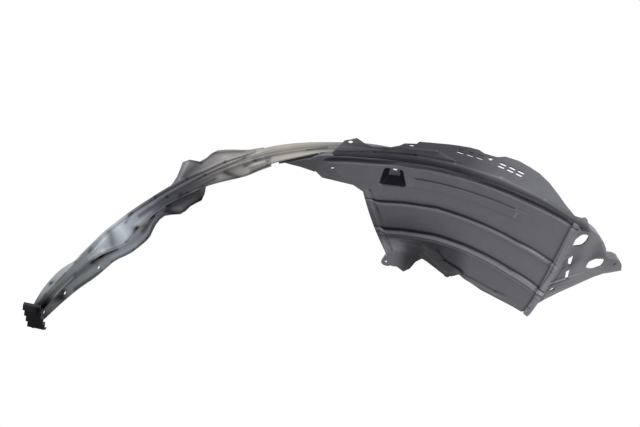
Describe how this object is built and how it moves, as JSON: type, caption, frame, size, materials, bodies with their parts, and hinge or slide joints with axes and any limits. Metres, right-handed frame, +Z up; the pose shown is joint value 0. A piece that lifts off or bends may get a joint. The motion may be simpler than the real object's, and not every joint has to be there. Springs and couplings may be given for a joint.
{
  "type": "wheel arch liner",
  "caption": "Front wheel arch liner in two thin mouldings: a wide panel with stiffening beads, flange, clip pocket and front bracket, and a narrow rear strip with a pleated foot.",
  "frame": {"origin": "centre of the crown clip hole, on the inboard face of the front panel's flange", "axes": "+X to the front of the car, +Y inboard, +Z up, as the liner is fitted"},
  "size_m": [0.8815, 0.2633, 0.3113],
  "materials": {
    "rear_plastic": "satin moulded plastic, light grey",
    "front_plastic": "satin moulded plastic, dark grey"
  },
  "bodies": {
    "root": {"rear_liner": "rear_plastic", "front_liner": "front_plastic"}
  },
  "joints": []
}
